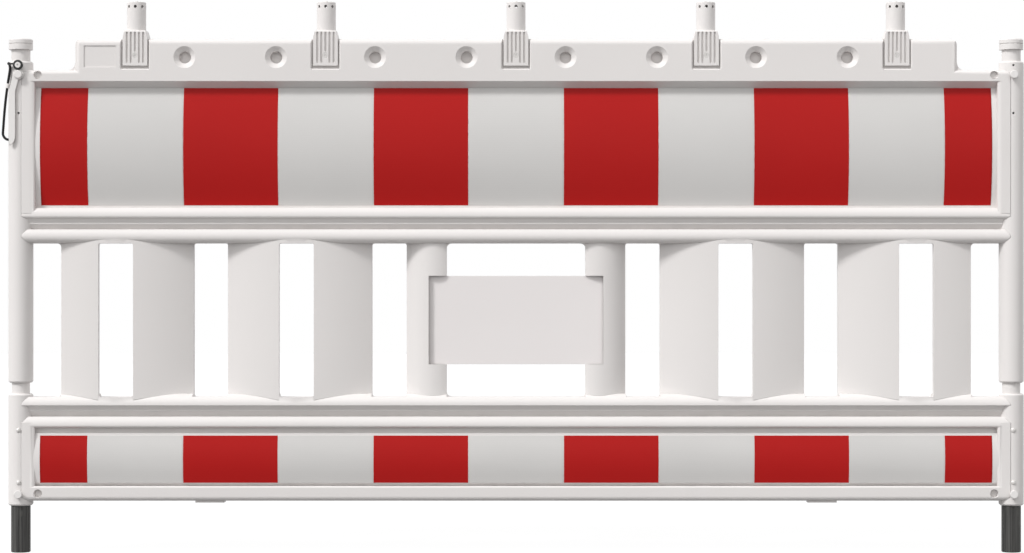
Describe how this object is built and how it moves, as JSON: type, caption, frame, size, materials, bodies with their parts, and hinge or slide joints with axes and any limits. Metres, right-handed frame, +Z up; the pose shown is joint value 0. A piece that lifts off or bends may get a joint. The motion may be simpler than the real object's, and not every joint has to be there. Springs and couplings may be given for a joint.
{
  "type": "pedestrian barrier panel",
  "caption": "Hollow plastic pedestrian barrier panel with curved striped reflective boards, wavy slats, lamp spigots on top, peg feet and a coupling latch on a lanyard.",
  "frame": {"origin": "on the ground, midway between the two feet, in the middle of the panel's depth", "axes": "+X along the panel to the right as seen from the front, -Y towards the front, +Z up"},
  "size_m": [2.1504, 0.0731, 1.1611],
  "materials": {
    "white_plastic": "satin blow-moulded polyethylene",
    "white_fittings": "moulded, half gloss",
    "red_film": "retroreflective film, smooth",
    "white_film": "retroreflective film, smooth",
    "foot_plastic": "matt recycled plastic",
    "screw_steel": "zinc plated",
    "lanyard_black": "black coated cord"
  },
  "bodies": {
    "root": {"upper_board": "white_plastic", "lower_board": "white_plastic", "slat_1": "white_plastic", "slat_2": "white_plastic", "slat_3": "white_plastic", "slat_4": "white_plastic", "slat_5": "white_plastic", "slat_6": "white_plastic", "slat_7": "white_plastic", "slat_8": "white_plastic", "slat_9": "white_plastic", "slat_10": "white_plastic", "info_plate": "white_plastic", "left_post": "white_plastic", "right_post": "white_plastic", "left_post_cap": "white_plastic", "right_post_cap": "white_plastic", "left_foot": "foot_plastic", "right_foot": "foot_plastic", "foot_screws": "screw_steel", "lamp_adapter_1": "white_plastic", "lamp_adapter_2": "white_plastic", "lamp_adapter_3": "white_plastic", "lamp_adapter_4": "white_plastic", "lamp_adapter_5": "white_plastic", "adapter_screws": "screw_steel", "upper_front_red_film": "red_film", "upper_front_white_film": "white_film", "upper_rear_red_film": "red_film", "upper_rear_white_film": "white_film", "lower_front_red_film": "red_film", "lower_front_white_film": "white_film", "lower_rear_red_film": "red_film", "lower_rear_white_film": "white_film", "latch_pin": "white_fittings", "cross_pins": "white_fittings", "lanyard_screw": "white_fittings", "lanyard_eye": "lanyard_black", "lanyard_ferrule": "white_fittings", "lanyard_cord": "lanyard_black"},
    "latch": {"coupling_latch": "white_fittings"}
  },
  "joints": [
    {"name": "latch_swing", "type": "hinge", "parent": "root", "child": "latch", "pos_m": [-1.044, -0.0292, 1.00451], "axis": [0, 1, 0], "range_deg": [0, 90]}
  ]
}
